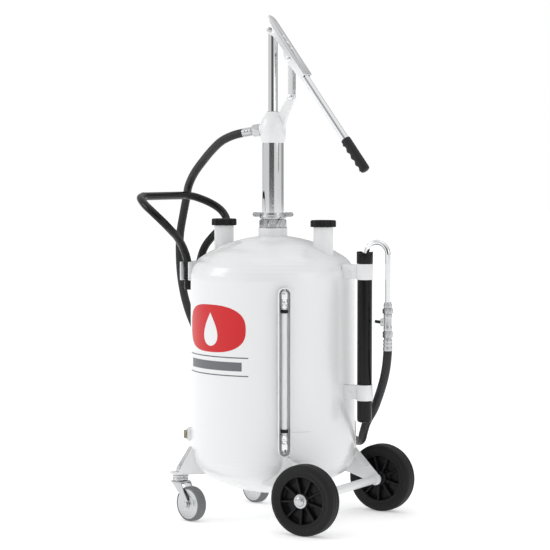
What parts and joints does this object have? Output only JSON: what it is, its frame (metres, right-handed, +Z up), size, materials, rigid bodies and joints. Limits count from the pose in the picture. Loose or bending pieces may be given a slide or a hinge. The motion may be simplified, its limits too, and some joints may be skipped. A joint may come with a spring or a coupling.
{
  "type": "wheeled gear oil dispenser with hand pump",
  "caption": "Wheeled steel oil tank with a lever-worked hand pump, delivery hose, hooked nozzle in a holder, level gauge and push handle.",
  "frame": {"origin": "on the floor, on the tank's vertical axis", "axes": "+Z up along the tank; +X from the push handle towards the big wheels; +Y to the left of a person who pushes the handle"},
  "size_m": [0.675, 0.5068, 1.1699],
  "materials": {
    "white_enamel": "gloss white baked enamel",
    "zinc_plate": "bright zinc plating with a fine grain",
    "chrome_plate": "polished hard chrome",
    "brass_turned": "turned brass",
    "grip_rubber": "matt black moulded grip",
    "hose_rubber": "satin black hose cover",
    "black_plastic": "moulded black plastic",
    "black_enamel": "gloss black enamel",
    "clear_tube": "clear sight tube",
    "caster_tread": "grey non-marking tread",
    "tyre_rubber": "black solid rubber"
  },
  "bodies": {
    "trolley": {"tank_shell": "white_enamel", "pump_socket": "white_enamel", "filler_neck_rear": "white_enamel", "filler_neck_front": "white_enamel", "bung_nut": "zinc_plate", "wing_ring": "zinc_plate", "pump_tube": "chrome_plate", "pump_head": "white_enamel", "rod_bush": "brass_turned", "suction_tube": "zinc_plate", "foot_valve": "brass_turned", "outlet_hex": "zinc_plate", "hose_ferrule_pump": "zinc_plate", "hose": "hose_rubber", "hose_ferrule_gun": "zinc_plate", "gun_nut": "zinc_plate", "gun_body": "zinc_plate", "nozzle_nut": "zinc_plate", "nozzle_tube": "chrome_plate", "holder_tube": "black_enamel", "holder_cap": "black_enamel", "holder_bands": "white_enamel", "gauge_guard": "white_enamel", "gauge_tube": "clear_tube", "gauge_fittings": "chrome_plate", "drain_boss": "white_enamel", "drain_plug": "brass_turned", "handle_tube": "black_enamel", "handle_bracket": "white_enamel", "handle_bolts": "zinc_plate", "caster_bracket_right": "white_enamel", "caster_bracket_left": "white_enamel", "caster_stems": "zinc_plate", "axle_bracket_right": "white_enamel", "axle_bracket_left": "white_enamel", "axle_tube": "white_enamel", "axle_rod": "zinc_plate", "axle_caps": "zinc_plate"},
    "rod": {"piston_rod": "chrome_plate", "piston": "brass_turned", "rod_pin": "zinc_plate"},
    "lever": {"lever_channel": "zinc_plate", "lever_tube": "zinc_plate", "lever_grip": "grip_rubber"},
    "link": {"link": "zinc_plate", "link_pins": "zinc_plate"},
    "ball": {"valve_ball": "zinc_plate"},
    "trigger": {"gun_trigger": "black_plastic"},
    "cap_rear": {"filler_cap_rear": "black_plastic"},
    "cap_front": {"filler_cap_front": "black_plastic"},
    "swivel_right": {"caster_fork_right": "zinc_plate"},
    "swivel_left": {"caster_fork_left": "zinc_plate"},
    "caster_right": {"caster_hub_right": "zinc_plate", "caster_tyre_right": "caster_tread"},
    "caster_left": {"caster_hub_left": "zinc_plate", "caster_tyre_left": "caster_tread"},
    "wheel_right": {"wheel_rim_right": "black_plastic", "wheel_tyre_right": "tyre_rubber"},
    "wheel_left": {"wheel_rim_left": "black_plastic", "wheel_tyre_left": "tyre_rubber"}
  },
  "joints": [
    {"name": "pump_stroke", "type": "slide", "parent": "trolley", "child": "rod", "axis": [0, 0, -1], "range_m": [0, 0.12]},
    {"name": "lever_swing", "type": "hinge", "parent": "rod", "child": "lever", "pos_m": [0, 0, 1.135], "axis": [0, -1, 0], "range_deg": [0, 89.4]},
    {"name": "link_swing", "type": "hinge", "parent": "trolley", "child": "link", "pos_m": [0.05056, 0, 0.979], "axis": [0, 1, 0], "range_deg": [0, 12.2]},
    {"name": "ball_lift", "type": "slide", "parent": "trolley", "child": "ball", "axis": [0, 0, 1], "range_m": [0, 0.004]},
    {"name": "trigger_pull", "type": "hinge", "parent": "trolley", "child": "trigger", "pos_m": [0.289, 0, 0.467], "axis": [0, -1, 0], "range_deg": [0, 12], "stiffness_Nm_per_rad": 0.3, "springref_deg": -11.46},
    {"name": "cap_rear_lift", "type": "slide", "parent": "trolley", "child": "cap_rear", "axis": [0, 0, 1], "range_m": [0, 0.06]},
    {"name": "cap_front_lift", "type": "slide", "parent": "trolley", "child": "cap_front", "axis": [0, 0, 1], "range_m": [0, 0.06]},
    {"name": "swivel_right_turn", "type": "hinge", "parent": "trolley", "child": "swivel_right", "pos_m": [-0.163, -0.147, 0.09], "axis": [0, 0, 1], "continuous": true},
    {"name": "swivel_left_turn", "type": "hinge", "parent": "trolley", "child": "swivel_left", "pos_m": [-0.163, 0.147, 0.09], "axis": [0, 0, 1], "continuous": true},
    {"name": "caster_right_roll", "type": "hinge", "parent": "swivel_right", "child": "caster_right", "pos_m": [-0.12726, -0.15658, 0.04], "axis": [0.2588, 0.9659, 0], "continuous": true},
    {"name": "caster_left_roll", "type": "hinge", "parent": "swivel_left", "child": "caster_left", "pos_m": [-0.12781, 0.13557, 0.04], "axis": [0.309, 0.9511, 0], "continuous": true},
    {"name": "wheel_right_roll", "type": "hinge", "parent": "trolley", "child": "wheel_right", "pos_m": [0.192, -0.1866, 0.08], "axis": [0, 1, 0], "continuous": true},
    {"name": "wheel_left_roll", "type": "hinge", "parent": "trolley", "child": "wheel_left", "pos_m": [0.192, 0.1866, 0.08], "axis": [0, 1, 0], "continuous": true}
  ],
  "couplings": [
    {"joint": "lever_swing", "follows": "pump_stroke", "rad_per_m": 12.988},
    {"joint": "link_swing", "follows": "pump_stroke", "rad_per_m": 1.758}
  ]
}
